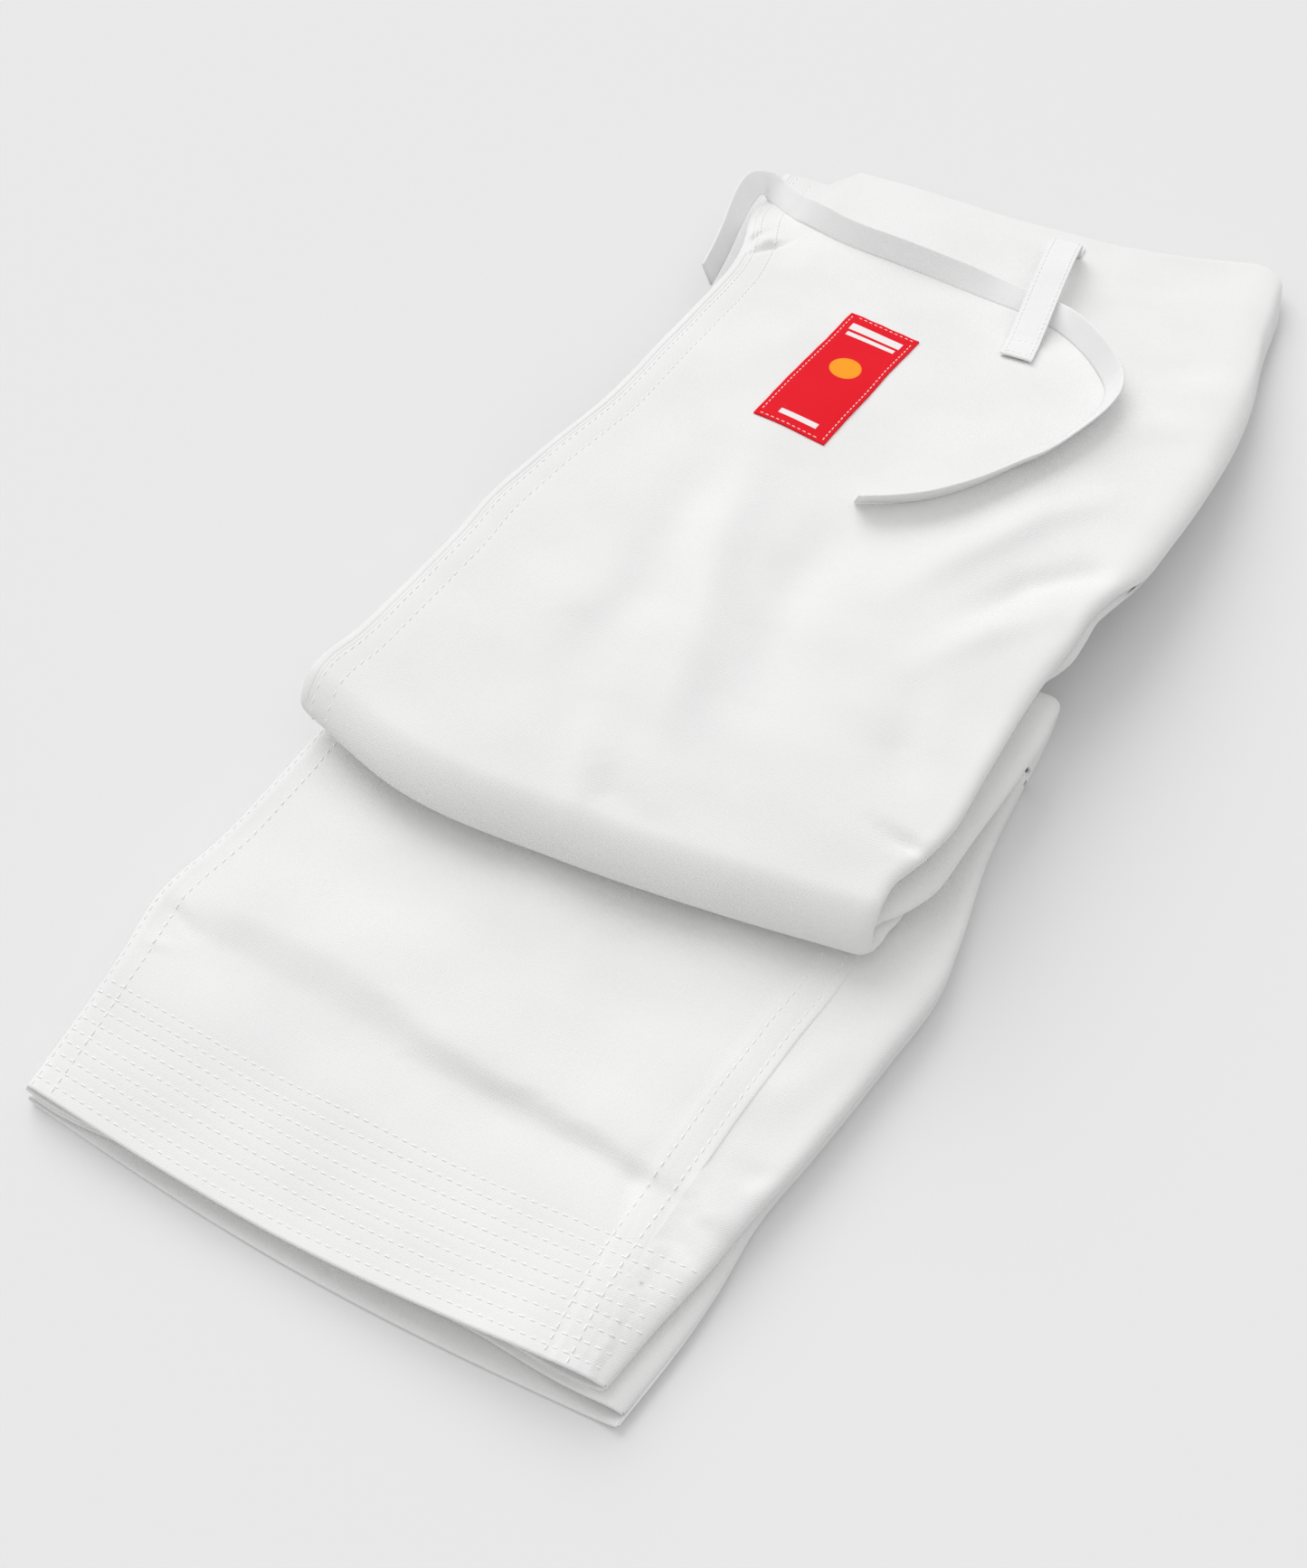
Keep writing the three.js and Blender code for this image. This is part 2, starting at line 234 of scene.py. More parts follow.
# ---- outline of the folded garment ----
leftEdge = [(0, 0), (60, -0.5), (90, -3), (120, 4), (150, 8), (180, 11), (250, 16), (317, 20), (343, 20),
            (440, 13), (473, 8), (486, 5.5), (499, 5), (506, 6.2), (518, 10.2), (546, 16.3), (567, 19.7),
            (590, 23), (614, 24.8), (648, 31.5), (689, 40), (743, 44), (786, 46.5),
            (812, 46.5), (857, 42), (901, 33), (947, 33)]
rightEdge = [(0, 252), (48, 262), (78, 265), (109, 272), (154, 281), (195, 287.5), (215, 286), (256, 281),
             (317, 281), (343, 281), (368, 278), (413, 272), (458, 266), (473, 261), (499, 257), (508, 257.5),
             (522, 262), (545, 268), (579, 270), (626, 273), (655, 277), (676, 279), (690, 283), (709, 290),
             (735, 294), (771, 298), (814, 300), (868, 298), (915, 293), (947, 291)]
inseamLine = [(0, 240), (85, 240), (145, 248), (175, 253), (250, 250), (317, 252), (343, 255), (473, 238),
              (499, 240), (626, 255), (735, 262), (947, 262)]
sideSeam = {"join": 5.0, "second": 6.5, "rows": (7.6, 16.2), "lowerRows": (2.6, 11.5), "groove": 0.7}
inseamRows = (3.6, 12.6)      # stitching, back from the inseam's edge
waistDrop = [(0, 46), (0.09, 45), (0.135, 28.5), (0.45, 26), (0.65, 21), (0.78, 14), (0.93, 1), (0.975, 6),
             (1, 32)]
frontNose = [(10, 10), (60, -4), (134, -3), (200, 4), (258, 13)]      # how the front fold's line wanders


# ---- creases: points (x, y, height), how wide each falls away left and right of its run ----
lowerCreases = [
    ([(10, 95, 0.4), (34, 96, 2.0), (68, 96, 2.7), (110, 92, 2.6), (160, 85, 1.0)], 20, 8),
    ([(110, 87, 0.3), (150, 84, 1.6), (195, 82, 2.2), (219, 76, 1.6), (236, 72, 0.4)], 14, 3.6),
    ([(-2, 80, -1.0), (12, 79, -1.6), (40, 79, -1.7), (100, 76, -1.7), (156, 74, -0.8)], 7, 16),
    ([(124, 76, -0.3), (160, 75.5, -1.5), (200, 73, -1.7), (238, 66, -0.6)], 3.2, 12),
    ([(0, 90, -0.4), (9, 85, -1.6), (22, 79, -0.4)], 2.2, 2.2),
    ([(2, 72, 0.3), (10, 70, 0.9), (20, 71, 0.2)], 2.4, 2.4),
    ([(100, 66, -0.2), (126, 58, -1.0), (142, 50, -0.2)], 7, 7),
    ([(232, 62, -0.3), (244, 54, -1.9), (256, 47, -0.5)], 4, 4),
    ([(238, 78, 0.3), (250, 68, 2.0), (262, 64, 0.8)], 5, 4),
    ([(244, 92, -0.3), (256, 88, -1.7), (266, 92, -0.5)], 5, 5),
    ([(244, 112, 0.3), (256, 128, 1.5), (272, 160, 0.5)], 7, 9),
    ([(216, 84, 0.2), (219, 70, -1.3), (222, 58, -0.2)], 3.2, 3.2),
    ([(30, 152, 0.2), (90, 142, 0.9), (150, 146, 0.2)], 16, 16),
    ([(130, 118, -0.2), (180, 128, -0.9), (228, 146, -0.2)], 14, 14),
]
topCreases = [
    ([(117, 396, 0.2), (123, 333, 2.0), (137, 286, 2.4), (145, 253, 2.0), (152, 218, 0.5)], 12, 10),
    ([(100, 372, -0.3), (105, 335, -1.8), (110, 284, -2.2), (104, 250, -0.4)], 13, 12),
    ([(165, 360, -0.3), (164, 330, -1.9), (167, 292, -1.9), (176, 258, -0.3)], 13, 12),
    ([(116, 228, 0.1), (126, 208, 1.6), (134, 188, 1.3), (138, 176, 0.3)], 13, 6),
    ([(136, 206, -0.3), (144, 196, -1.7), (158, 190, -0.8), (176, 188, -0.2)], 5, 10),
    ([(200, 330, 0.3), (222, 372, 2.4), (240, 405, 2.4), (262, 430, 0.8)], 10, 8),
    ([(178, 352, -0.3), (206, 396, -2.2), (226, 440, -2.2), (236, 470, -0.3)], 12, 12),
    ([(232, 330, -0.3), (250, 366, -2.6), (270, 384, -2.2)], 7, 6),
    ([(222, 296, 0.3), (244, 330, 1.9), (262, 352, 1.2)], 9, 8),
    ([(262, 215, -2.8), (252, 218, -2.6), (240, 223, -0.4)], 4, 4),
    ([(250, 240, -0.3), (236, 262, -1.4), (228, 300, -0.3)], 9, 9),
    ([(60, 285, 0.2), (84, 262, 1.1), (100, 232, 0.2)], 13, 13),
    ([(150, 436, -0.2), (196, 452, -1.4), (236, 466, -0.2)], 15, 15),
    ([(78, 400, 0.2), (92, 436, 1.0), (102, 478, 0.2)], 14, 14),
    ([(236, 468, 0.2), (262, 486, 1.5), (290, 500, 0.4)], 11, 11),
    ([(240, 520, -0.2), (266, 540, -1.6), (292, 562, -0.5)], 13, 13),
    ([(205, 588, 0.2), (240, 596, 1.0), (280, 600, 0.2)], 9, 9),
    ([(56, 561, 0.4), (54, 548, 2.6), (50, 530, 0.5)], 3.6, 3.6),
    ([(49, 566, -0.8), (46, 548, -2.2), (48, 526, -0.5)], 1.7, 1.7),
    ([(63, 562, -0.4), (58, 545, -2.0), (50, 524, -0.5)], 1.7, 1.7),
    ([(43, 562, 0.6), (41.5, 548, 1.6), (41, 534, 0.3)], 2.4, 2.4),
]


def creaseField(creases, x, y):
    total = np.zeros(np.broadcast(x, y).shape)
    for line, onLeft, onRight in creases:
        nearest = np.full(total.shape, 1e9)
        lift = np.zeros(total.shape)
        for (x0, y0, from0), (x1, y1, to1) in zip(line, line[1:]):
            dx, dy = x1 - x0, y1 - y0
            t = np.clip(((x - x0) * dx + (y - y0) * dy) / (dx * dx + dy * dy), 0, 1)
            away = np.hypot(x - x0 - t * dx, y - y0 - t * dy)
            width = np.where(dx * (y - y0) - dy * (x - x0) > 0, onLeft, onRight)
            closer = away < nearest
            lift = np.where(closer, (from0 + (to1 - from0) * t) * np.exp(-(away / width) ** 2), lift)
            nearest = np.where(closer, away, nearest)
        total = total + lift
    return total


def wander(x, y):
    # no crease runs quite straight
    return 0.6 * np.sin(x / 11 + y / 31) + 0.4 * np.sin(x / 4.9 + 1.1) + 1.2 * np.sin(x / 27 + 2.0)


def ripple(x, y, seed):
    # slow uneven waves that no pressed cloth is free of
    waves = np.random.default_rng(seed)
    total = 0
    for wavelength, height in ((150, 0.45), (90, 0.35), (52, 0.22), (31, 0.12)):
        for _ in range(2):
            angle, phase = waves.uniform(0, math.pi), waves.uniform(0, 2 * math.pi)
            along = x * math.cos(angle) + y * math.sin(angle)
            total = total + height * np.sin(2 * math.pi * along / wavelength + phase)
    return total


# ---- the four cloth layers ----
layers = {
    "leftFront": {"z": 16.7, "mid": 12.6, "leg": "left", "up": True, "lean": 1.0},
    "leftBack": {"z": 8.6, "mid": 12.6, "leg": "left", "up": False, "lean": 0.5},
    "rightBack": {"z": 8.2, "mid": 4.25, "leg": "right", "up": True, "lean": 0.48},
    "rightFront": {"z": 0.15, "mid": 4.25, "leg": "right", "up": False, "lean": 0.0},
}
cloth = {
    "thick": 1.0, "leftRoll": 6.0, "rightRoll": 6.0, "seatRoll": 13.0, "seatMid": 8.4,
    "crotchFrom": 376, "crotchTo": 404, "backInset": 2.5, "backRise": 5.0,
    "hemDrawnIn": 6.5, "hemRoll": 7.0, "hemBow": 6.5, "hemSpread": 2.0,
    "noseSag": 0.70, "pressed": 0.34, "pressedReach": 32, "cornerPressed": 0.22, "cornerWide": 46,
    "cornerReach": 26, "seamStep": 0.7, "hemRows": 9, "hemPitch": 5.5, "hemFirst": 4.0, "hemDip": 0.16,
}


def edgeRoll(distance, radius):
    return np.sqrt(1 - (1 - np.clip(distance / radius, 0, 1)) ** 2)


def hemReach(name, x):
    share = np.clip(x / 252, 0, 1)
    inside = smoothStep(0.04, 0.25, share) * (1 - smoothStep(0.72, 0.97, share))
    return {"leftFront": 0 * share, "leftBack": 5.5 * inside - 1, "rightBack": 6 * inside - 1.5 - 2.5 * share,
            "rightFront": -2.2 - 6 * share}[name]


def layerPoint(name, across, along, inward=0.0):
    # across: 0 to 1 from the left edge to the right one; along: distance on the cloth
    layer = layers[name]
    across, along = np.broadcast_arrays(np.asarray(across, float), np.asarray(along, float))
    left = curveThrough(leftEdge, along)
    right = curveThrough(rightEdge, along)
    onTop = along > (kneeEnd + topStart) / 2
    yPlain = np.where(onTop, frontCrease + along - topStart, np.where(along < shinEnd, along, shinEnd))
    crotch = np.where(onTop, smoothStep(cloth["crotchFrom"], cloth["crotchTo"], yPlain), 0)
    isBack = name.endswith("Back")
    if layer["leg"] == "right":
        right = right + 2.0 * smoothStep(635, 655, along) * (1 - smoothStep(668, 685, along))
    underTop = smoothStep(kneeEnd - 8, kneeEnd + 8, along) * (1 - smoothStep(620, 660, along))
    onKneeSide = smoothStep(shinEnd + 13, kneeStart + 20, along)
    onKneeSide = onKneeSide * (1 - smoothStep(kneeEnd - 30, kneeEnd, along))
    if layer["leg"] == "right":
        right = right - 5 * underTop + 3 * onKneeSide
    else:
        right = right - 6 * onKneeSide
    if isBack:
        right = right - cloth["backInset"] * crotch
    hemEnd = (1 - smoothStep(20, 95, along)) * (along < shinEnd)
    right = right + (-cloth["hemDrawnIn"] if layer["leg"] == "left" else cloth["hemSpread"]) * hemEnd
    x = left + (right - left) * across
    fromLeft, fromRight = x - left, right - x
    rollRight = cloth["rightRoll"] + (cloth["seatRoll"] - cloth["rightRoll"]) * crotch
    rollRight = rollRight + cloth["hemRoll"] * np.exp(-(along / 40) ** 2) * (along < shinEnd)
    rightMid = layer["mid"] + (cloth["seatMid"] - layer["mid"]) * crotch
    z = layer["z"] * np.ones_like(x)
    z = z - (layer["z"] - layer["mid"]) * (1 - edgeRoll(fromLeft, cloth["leftRoll"]))
    z = z - (layer["z"] - rightMid) * (1 - edgeRoll(fromRight, rollRight))

    # wrinkles, strongest on the layer that shows
    waistFade = 1 - 0.5 * smoothStep(560, 640, yPlain)
    onLower = 1 - smoothStep(shinEnd - 60, shinEnd - 10, along)
    lift = np.where(onTop, 1.25 * creaseField(topCreases, x, yPlain) * waistFade, 0)
    lift = lift + np.where(~onTop, creaseField(lowerCreases, x, yPlain + wander(x, yPlain)) * onLower, 0)
    awayFromFolds = 1 - np.exp(-((along - (shinEnd + kneeStart) / 2) / 40) ** 2)
    awayFromFolds = awayFromFolds * (1 - np.exp(-((along - (kneeEnd + topStart) / 2) / 26) ** 2))
    calm = smoothStep(0, 9, fromLeft) * smoothStep(0, 9, fromRight)
    lift = lift + ripple(x, yPlain, 7) * awayFromFolds * np.where(onTop, 1, onLower)
    z = z + lift * layer["lean"] * (0.35 + 0.65 * calm)

    # the hem end: pressed flat at the left, and open like an eye at the inseam
    nearHem = np.exp(-(along / 48) ** 2) * (along < shinEnd)
    z = z * (1 - 0.24 * nearHem * (1 - smoothStep(110, 215, x)))
    opened = nearHem * smoothStep(2, 70, x) * smoothStep(2, 26, fromRight)
    z = z - {"leftFront": -0.2, "leftBack": 2.4, "rightBack": 2.5, "rightFront": 0.0}[name] * opened
    if name == "rightBack":
        z = z + 2.6 * nearHem * np.exp(-((x - 236) / 15) ** 2)
    if name == "leftFront":
        z = z + 0.9 * nearHem * np.exp(-((x - 222) / 18) ** 2)
        row = (along - cloth["hemFirst"]) / cloth["hemPitch"]
        inRows = (row > -0.4) & (row < cloth["hemRows"] - 0.6)
        away = (row - np.round(row)) * cloth["hemPitch"]
        z = z - cloth["hemDip"] * np.exp(-(away / 0.9) ** 2) * inRows * calm
        # flat-felled seams: a raised strip between the seam's edge and its stitching
        seam = curveThrough(inseamLine, along)
        strip = smoothStep(seam - 16.5, seam - 13.5, x) * (1 - smoothStep(seam, seam + 0.5, x))
        z = z + cloth["seamStep"] * strip * (along < shinEnd - 40)
        groove = np.exp(-((fromLeft - sideSeam["join"]) / 0.55) ** 2)
        groove = groove + 0.7 * np.exp(-((fromLeft - sideSeam["second"]) / 0.5) ** 2)
        z = z - sideSeam["groove"] * groove * onTop
        for row in sideSeam["rows"]:
            z = z - 0.22 * np.exp(-((fromLeft - row) / 1.1) ** 2) * onTop
        for row in inseamRows:
            z = z - 0.22 * np.exp(-((seam - x - row) / 1.0) ** 2) * (along < shinEnd)
    z = z + (-inward if layer["up"] else inward)

    # carried round the folds
    rearAngle = np.pi * (along - shinEnd) / garment["turn"]
    frontAngle = np.pi * (along - kneeEnd) / garment["turn"]
    frontSag = np.pi * np.clip((along - kneeEnd) / garment["turn"], 0, 1) ** cloth["noseSag"]
    rearRadius = rearHinge.z - z
    frontRadius = z + 0.15
    onRear = (along >= shinEnd) & (along < kneeStart)
    onKnee = (along >= kneeStart) & (along < kneeEnd)
    onFront = (along >= kneeEnd) & (along < topStart)
    pastFront = along >= topStart
    slope = math.tan(math.asin(droopHinge.z / garment["seat"]))
    softness = 20.0
    droop = slope * softness * np.logaddexp(0, (yPlain - droopStart) / softness)
    thinner = 1 - 0.30 * smoothStep(430, 630, yPlain)
    y = np.select([onRear, onKnee, onFront, pastFront],
                  [shinEnd + rearRadius * np.sin(rearAngle), shinEnd - (along - kneeStart),
                   frontCrease - frontRadius * np.sin(frontSag), yPlain], along)
    height = np.select([onRear, onKnee, onFront, pastFront],
                       [rearHinge.z - rearRadius * np.cos(rearAngle), 2 * rearHinge.z - z,
                        frontHinge.z - frontRadius * np.cos(frontAngle),
                        droopHinge.z + z * thinner - droop], z)
    # the pile thins towards the front fold, most of all at its left corner
    pressed = np.exp(-(np.clip(fromLeft, 0, None) / cloth["cornerWide"]) ** 2)
    reach = cloth["pressedReach"] + cloth["cornerReach"] * pressed
    behind = np.clip(y - frontCrease + 15, 0, None)
    near = np.exp(-(np.hypot(behind, 7) - 7) / reach) * smoothStep(kneeStart, kneeStart + 40, along)
    thin = 1 - (cloth["pressed"] + cloth["cornerPressed"] * pressed) * near
    height = np.where(along > kneeStart, frontHinge.z + (height - frontHinge.z) * thin, height)
    noseFade = np.exp(-((along - (kneeEnd + topStart) / 2) / 55) ** 2)
    y = y + curveThrough(frontNose, x) * noseFade
    y = y + hemReach(name, x) * (1 - smoothStep(0, 60, along)) * (along < 60)
    bowed = np.sin(np.pi * np.clip(x / 252, 0, 1)) * (1 - smoothStep(0, 130, along)) * (along < 130)
    y = y - cloth["hemBow"] * bowed
    drop = np.interp(across, *np.array(waistDrop).T)
    if isBack:
        drop = drop - cloth["backRise"] * smoothStep(0.55, 0.8, across) * (1 - smoothStep(0.93, 0.99, across))
    y = y - drop * smoothStep(455, waistTop, yPlain) * pastFront
    return np.stack([x, y, height], axis=-1)


# ---- grids ----
def columnShares(along, middle=34):
    # the same columns follow the seams all the way up the garment
    left, right = curveThrough(leftEdge, along), curveThrough(rightEdge, along)
    seam = curveThrough(inseamLine, along)
    knots = [left, left + 4.0, left + 7.4, left + 15.4, left + 17.4, seam - 15, seam - 0.2, seam + 0.6, right]
    counts = [7, 8, 4, 3, middle, 12, 2, 11]
    pieces = []
    for i, count in enumerate(counts):
        t = np.linspace(0, 1, count + 1)[:-1] if i < len(counts) - 1 else np.linspace(0, 1, count + 1)
        if i == 0:
            t = t ** 1.6
        if i == len(counts) - 1:
            t = 1 - (1 - t) ** 1.6
        pieces.append(knots[i] + (knots[i + 1] - knots[i]) * t[:, None])
    x = np.concatenate(pieces).T
    return (x - left[:, None]) / (right - left)[:, None]


def gridNormals(points, faceUp):
    normals = np.cross(np.gradient(points, axis=1), np.gradient(points, axis=0))
    normals = normals / (np.linalg.norm(normals, axis=-1, keepdims=True) + 1e-9)
    return normals if faceUp else -normals


def clothUv(points, start=0.0):
    across = np.zeros(points.shape[:2])
    across[:, 1:] = np.cumsum(np.linalg.norm(np.diff(points, axis=1), axis=-1), axis=1)
    run = np.zeros(points.shape[:2])
    run[1:] = np.cumsum(np.linalg.norm(np.diff(points, axis=0), axis=-1), axis=0)
    middle = points.shape[1] // 2
    run = np.broadcast_to(run[:, middle:middle + 1], run.shape)
    return np.stack([across - across[:, middle:middle + 1], run + start], axis=-1)


def newPiece(name, points, faces, material, normals=None):
    mesh = bpy.data.meshes.new(name)
    mesh.from_pydata(toRow(points).tolist(), [], faces)
    mesh.shade_smooth()
    if normals is not None:
        mesh.normals_split_custom_set(normals.tolist())
    mesh.materials.append(material)
    piece = bpy.data.objects.new(name, mesh)
    bpy.context.scene.collection.objects.link(piece)
    return piece


def twoFaced(name, points, thick, faceUp, material, normals=None, uv=None):
    # cloth with its two faces and the cut edge between them
    normals = gridNormals(points, faceUp) if normals is None else normals
    uv = clothUv(points) if uv is None else uv
    rows, columns = points.shape[:2]
    count = rows * columns
    index = np.arange(count).reshape(rows, columns)
    outer = np.stack([index[:-1, :-1], index[:-1, 1:], index[1:, 1:], index[1:, :-1]], axis=-1).reshape(-1, 4)
    border = np.concatenate([index[0], index[1:, -1], index[-1, -2::-1], index[-2:0:-1, 0]])
    following = np.roll(border, -1)
    rim = np.stack([following, border, border + count, following + count], axis=-1)
    quads = np.concatenate([outer, outer[:, ::-1] + count, rim])
    allPoints = np.concatenate([points.reshape(-1, 3), (points - normals * thick).reshape(-1, 3)])
    facing = normals.reshape(-1, 3)
    if not faceUp:
        quads = quads[:, ::-1]
    rimQuads = allPoints[quads[2 * len(outer):]]
    rimNormals = np.cross(rimQuads[:, 2] - rimQuads[:, 0], rimQuads[:, 3] - rimQuads[:, 1])
    rimNormals = rimNormals / (np.linalg.norm(rimNormals, axis=-1, keepdims=True) + 1e-9)
    loopNormals = np.concatenate([
        facing[quads[:len(outer)].reshape(-1)], -facing[quads[len(outer):2 * len(outer)].reshape(-1) - count],
        np.repeat(rimNormals, 4, axis=0)])
    piece = newPiece(name, allPoints, quads.tolist(), material, loopNormals)
    layer = piece.data.uv_layers.new(name="cloth")
    corners = np.concatenate([uv.reshape(-1, 2)] * 2)[quads.reshape(-1)]
    layer.data.foreach_set("uv", corners.reshape(-1).astype(np.float32))
    return piece


def applyModifier(piece, kind, **settings):
    bpy.ops.object.select_all(action="DESELECT")
    piece.select_set(True)
    bpy.context.view_layer.objects.active = piece
    modifier = piece.modifiers.new(kind.title(), kind)
    for key, value in settings.items():
        setattr(modifier, key, value)
    bpy.ops.object.modifier_apply(modifier=modifier.name)


# ---- where each piece goes: the shin's pieces are attached to the shin, the rest stay where they are built ----
kneeSplit = 408
seatSplit = 574
splits = {
    "Shin": (0, 300), "RearFold": (300, kneeSplit), "FrontFold": (kneeSplit, seatSplit),
    "Seat": (seatSplit, clothEnd),
}


def follow(piece, part):
    if part == "Shin":
        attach(piece, "shin")
    elif part == "Seat":
        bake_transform(piece)
    else:
        hinge, below, above = {"RearFold": (rearHinge, "shin", "knee"),
                               "FrontFold": (frontHinge, "knee", "thigh")}[part]
        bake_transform(piece)


# ---- places on the cloth ----
def clothFrame(name, x, along):
    # point, the two directions in the cloth, and its normal
    def at(x, along):
        left, right = curveThrough(leftEdge, along), curveThrough(rightEdge, along)
        return layerPoint(name, (x - left) / (right - left), along)
    x, along = np.broadcast_arrays(np.asarray(x, float), np.asarray(along, float))
    point = at(x, along)
    over = at(x + 0.6, along) - at(x - 0.6, along)
    run = at(x, along + 0.6) - at(x, along - 0.6)
    normal = np.cross(over, run)
    scaled = [v / (np.linalg.norm(v, axis=-1, keepdims=True) + 1e-9) for v in (over, run, normal)]
    return point, *scaled


def onSeat(x, y):
    # distance on the cloth at which the top section reaches y
    along = topStart + y - frontCrease
    for _ in range(6):
        along = np.minimum(along + y - clothFrame("leftFront", x, along)[0][..., 1], clothEnd)
    return along


def seatPlace(x, fromWaist, height):
    # the leaning seat's own flat coordinates: x, distance below the waist, height over the pile
    lean = math.asin(droopHinge.z / garment["seat"])
    past = garment["seat"] - fromWaist
    level = garment["pile"] + height
    return np.stack([x, droopStart + past * math.cos(lean) + level * math.sin(lean),
                     droopHinge.z - past * math.sin(lean) + level * math.cos(lean)], axis=-1)


# ---- drawstring ----
drawstring = {
    "width": 12.5, "thick": 1.1, "step": 2.0,
    # x, distance below the top of the waist, height over the pile
    "route": [
        (37.5, 146, -9.4), (35.6, 131, -8.6), (33.4, 117, -7.6), (31, 104, -6.2), (29.4, 93, -4.4),
        (28.9, 84, -2.6), (30.4, 76.6, -0.4), (35.2, 71.5, 1.4), (42, 73, 1.6), (52, 78.2, 1.3),
        (64, 84, 1.2), (80, 89.4, 1.2), (95, 92, 1.2), (110, 92.6, 1.2), (125, 92.8, 1.2),
        (140, 92.7, 1.2), (155, 92.6, 1.2), (170, 93.2, 1.2), (184, 94.6, 1.2), (198, 98.5, 1.2),
        (210, 105.5, 1.2), (221, 114.5, 1.2), (231, 124.5, 1.2), (238.5, 135.5, 1.2), (241.5, 148, 1.2),
        (240.5, 161, 1.2), (237, 174, 1.2), (232, 187, 1.2), (226, 200, 1.2), (219, 212.5, 1.2),
        (211, 225.5, 1.2), (202.5, 238, 1.2), (192.5, 250, 1.2), (181, 260.5, 1.2), (168, 268.5, 1.2),
    ],
    "firstOnCloth": 8,
    # share of the way, how steeply the tape stands
    "lean": [(0, 66), (0.1, 56), (0.15, 42), (0.175, 38), (0.22, 44), (0.28, 52), (0.36, 56), (0.42, 48),
             (0.465, 24), (0.51, 24), (0.56, 46), (0.64, 58), (0.8, 60), (0.92, 66), (1, 60)],
    "stitchPitch": 3.4,
}


def smoothRoute(points, step):
    # Catmull-Rom through the points, then even steps along it
    points = np.asarray(points, float)
    padded = np.concatenate([[2 * points[0] - points[1]], points, [2 * points[-1] - points[-2]]])
    fine = []
    for i in range(1, len(padded) - 2):
        t = np.linspace(0, 1, 12, endpoint=False)[:, None]
        a, b, c, d = padded[i - 1:i + 3]
        fine.append(0.5 * (2 * b + (c - a) * t + (2 * a - 5 * b + 4 * c - d) * t ** 2
                           + (3 * b - a - 3 * c + d) * t ** 3))
    fine = np.concatenate(fine + [padded[-2:-1]])
    run = np.concatenate([[0], np.cumsum(np.linalg.norm(np.diff(fine, axis=0), axis=1))])
    even = np.linspace(0, run[-1], int(run[-1] / step) + 1)
    return np.stack([np.interp(even, run, fine[:, k]) for k in range(fine.shape[1])], axis=-1)


def tapeCourse():
    # centreline and width direction of the standing tape
    route = smoothRoute(drawstring["route"], drawstring["step"])
    places = seatPlace(route[:, 0], route[:, 1], route[:, 2])
    share = np.linspace(0, 1, len(places))
    lean = np.radians(curveThrough(drawstring["lean"], share))
    heading = np.gradient(places[:, :2], axis=0)
    heading = heading / np.linalg.norm(heading, axis=1, keepdims=True)
    left = np.stack([-heading[:, 1], heading[:, 0], np.zeros(len(heading))], axis=-1)
    onCloth = np.argmin(np.abs(route[:, 0] - drawstring["route"][drawstring["firstOnCloth"]][0])
                        + np.abs(route[:, 1] - drawstring["route"][drawstring["firstOnCloth"]][1]))
    surface = clothFrame("leftFront", places[:, 0], onSeat(places[:, 0], places[:, 1]))[0]
    half = drawstring["width"] / 2
    rested = surface[:, 2] + half * np.sin(lean) + 0.4
    arrives = smoothStep(onCloth - 9, onCloth, np.arange(len(places)))
    places[:, 2] = places[:, 2] * (1 - arrives) + rested * arrives
    across = left * np.cos(lean)[:, None] + np.array([0, 0, 1]) * np.sin(lean)[:, None]
    return places, across


def makeDrawstring(material, threadMaterial):
    course, across = tapeCourse()
    heading = np.gradient(course, axis=0)
    heading = heading / np.linalg.norm(heading, axis=1, keepdims=True)
    across = across - heading * np.sum(across * heading, axis=1, keepdims=True)
    across = across / np.linalg.norm(across, axis=1, keepdims=True)
    face = np.cross(across, heading)         # side of the tape that shows
    half, thick = drawstring["width"] / 2, drawstring["thick"]
    # a folded tape: full at its folded edge, pinched by the stitching along the open one
    section = [(-1, 0), (-0.96, 0.42), (-0.8, 0.55), (0, 0.5), (0.66, 0.52), (0.76, 0.34), (0.86, 0.52),
               (0.97, 0.46), (1, 0), (0.97, -0.46), (0.86, -0.5), (0, -0.5), (-0.8, -0.55), (-0.96, -0.42)]
    rings = np.stack([course + across * half * u + face * thick * t for u, t in section], axis=1)
    rows, sides = rings.shape[:2]
    index = np.arange(rows * sides).reshape(rows, sides)
    turned = np.roll(index, -1, axis=1)
    quads = np.stack([index[:-1], index[1:], turned[1:], turned[:-1]], axis=-1).reshape(-1, 4)
    faces = quads.tolist() + [index[0].tolist(), index[-1][::-1].tolist()]
    piece = newPiece("drawstringTape", rings.reshape(-1, 3), faces, material)
    bpy.ops.object.select_all(action="DESELECT")
    piece.select_set(True)
    bpy.context.view_layer.objects.active = piece
    bpy.ops.object.mode_set(mode="EDIT")
    bpy.ops.mesh.select_all(action="SELECT")
    bpy.ops.mesh.normals_make_consistent(inside=False)
    bpy.ops.object.mode_set(mode="OBJECT")
    layer = piece.data.uv_layers.new(name="cloth")
    run = np.repeat(np.arange(rows) * drawstring["step"], sides)
    around = np.tile(np.array([u * half for u, _ in section]), rows)
    for corner in piece.data.loops:
        layer.data[corner.index].uv = (around[corner.vertex_index], run[corner.vertex_index])
    path = [Vector(point) for point in toRow(course)]
    length = sum((b - a).length for a, b in zip(path, path[1:]))
    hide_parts("drawstring")
    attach(piece, "seat")
    tuple(path[0])
    [tuple(point) for point in path]
    every = np.arange(1, rows - 1, drawstring["stitchPitch"] / drawstring["step"])
    rail = course + across * half * 0.76
    sew("drawstringThread", [(at(rail, every), at(heading, every), at(face, every) * (thick * 0.36))],
        2.2, 0.22, threadMaterial, "seatOnly")
    return course


